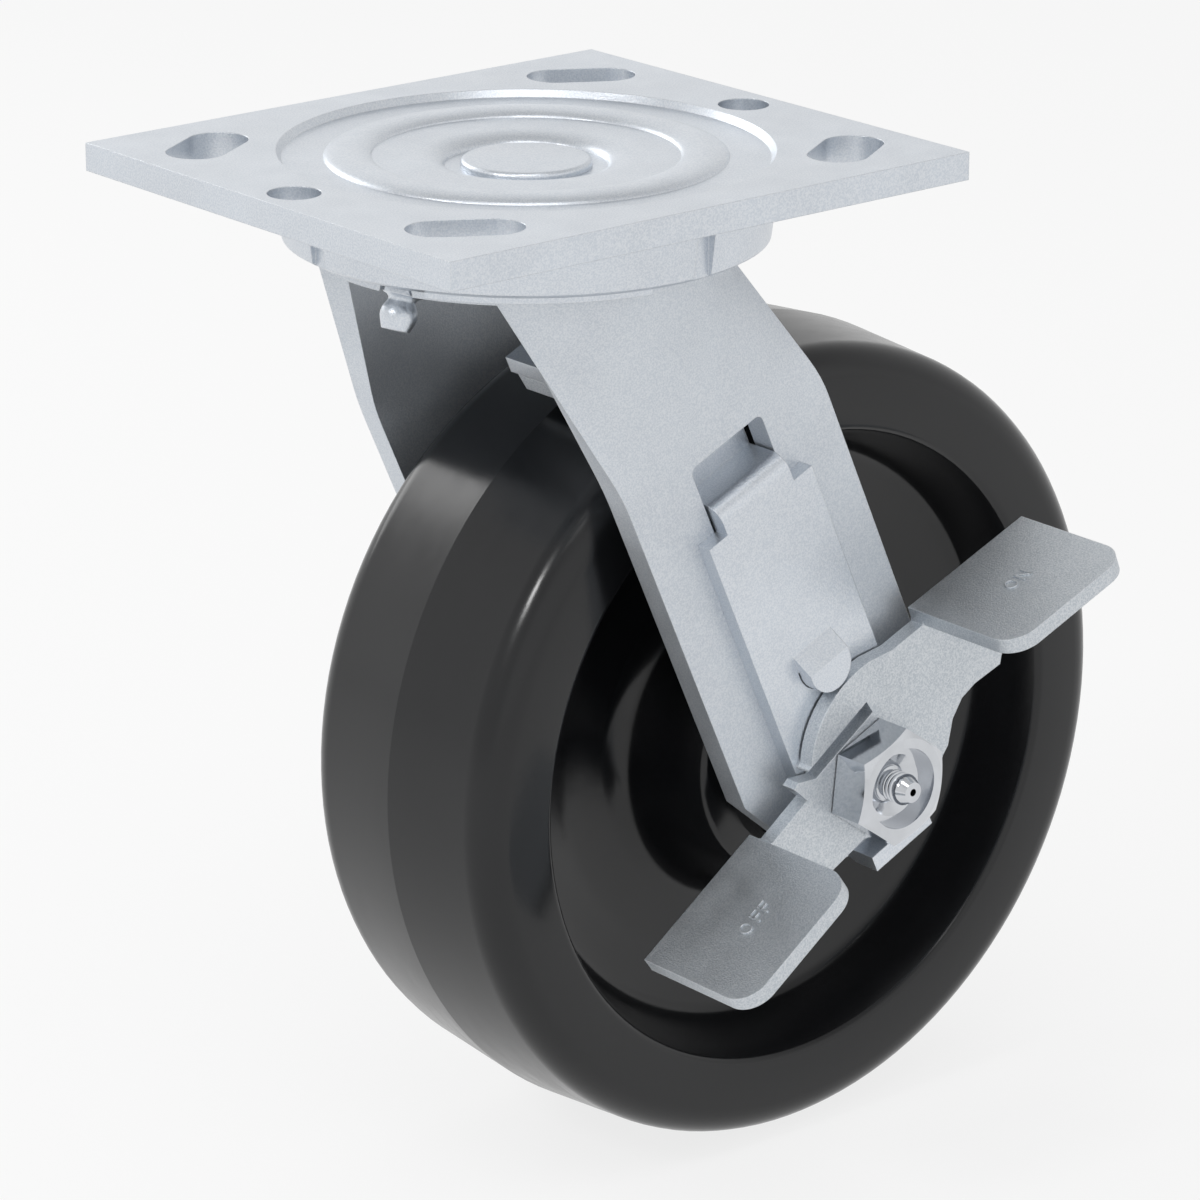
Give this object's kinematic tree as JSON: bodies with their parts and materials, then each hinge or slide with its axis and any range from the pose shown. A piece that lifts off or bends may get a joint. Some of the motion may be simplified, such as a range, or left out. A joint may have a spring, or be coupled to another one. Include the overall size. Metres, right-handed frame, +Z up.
{
  "type": "swivel castor with brake",
  "caption": "Top-plate swivel castor with a forked steel leg pair, a solid wheel and a two-paddle foot brake.",
  "frame": {"origin": "centre of the top plate's top face, on the swivel axis", "axes": "+Z up along the swivel axis, +X the way the wheel trails, brake on the -Y side"},
  "size_m": [0.1777, 0.1184, 0.1905],
  "materials": {
    "zinc_steel": "zinc plated, satin, light grey",
    "bearing_steel": "hardened, ground",
    "bright_steel": "bright zinc plate",
    "wheel_plastic": "moulded black polyolefin, slightly glossy",
    "cage_plastic": "natural nylon"
  },
  "bodies": {
    "plate": {"top_plate": "zinc_steel", "race_cup": "zinc_steel", "kingpin": "zinc_steel", "lower_race": "zinc_steel", "pin_spacer": "bearing_steel"},
    "ball_ring": {"upper_balls": "bearing_steel", "lower_balls": "bearing_steel"},
    "fork_body": {"fork": "zinc_steel", "swivel_fitting": "bright_steel", "axle_bolt": "bright_steel", "axle_nut": "bright_steel", "axle_fitting": "bright_steel", "bearing_sleeve": "bearing_steel", "thrust_washer_near": "zinc_steel", "thrust_washer_far": "zinc_steel", "lever_spacer": "zinc_steel"},
    "wheel_body": {"wheel": "wheel_plastic"},
    "roller_ring": {"rollers": "bearing_steel", "roller_cage": "cage_plastic"},
    "strap": {"brake_strap": "zinc_steel", "brake_shoe": "zinc_steel"},
    "lever": {"brake_lever": "zinc_steel"}
  },
  "joints": [
    {"name": "swivel", "type": "hinge", "parent": "plate", "child": "fork_body", "pos_m": [0, 0, 0], "axis": [0, 0, 1], "continuous": true},
    {"name": "ball_orbit", "type": "hinge", "parent": "plate", "child": "ball_ring", "pos_m": [0, 0, 0], "axis": [0, 0, 1], "continuous": true},
    {"name": "wheel_spin", "type": "hinge", "parent": "fork_body", "child": "wheel_body", "pos_m": [0.04445, 0, -0.1143], "axis": [0, 1, 0], "continuous": true},
    {"name": "roller_orbit", "type": "hinge", "parent": "fork_body", "child": "roller_ring", "pos_m": [0.04445, 0, -0.1143], "axis": [0, 1, 0], "continuous": true},
    {"name": "brake_pedal", "type": "hinge", "parent": "fork_body", "child": "lever", "pos_m": [0.04445, 0, -0.1143], "axis": [0, 1, 0], "range_deg": [0, 30]},
    {"name": "strap_slide", "type": "slide", "parent": "fork_body", "child": "strap", "axis": [0.4131, 0, -0.9107], "range_m": [0, 0.0029]}
  ],
  "couplings": [
    {"joint": "ball_orbit", "follows": "swivel", "ratio": 0.5},
    {"joint": "roller_orbit", "follows": "wheel_spin", "ratio": 0.60494},
    {"joint": "strap_slide", "follows": "brake_pedal", "m_per_rad": 0.0055386}
  ]
}
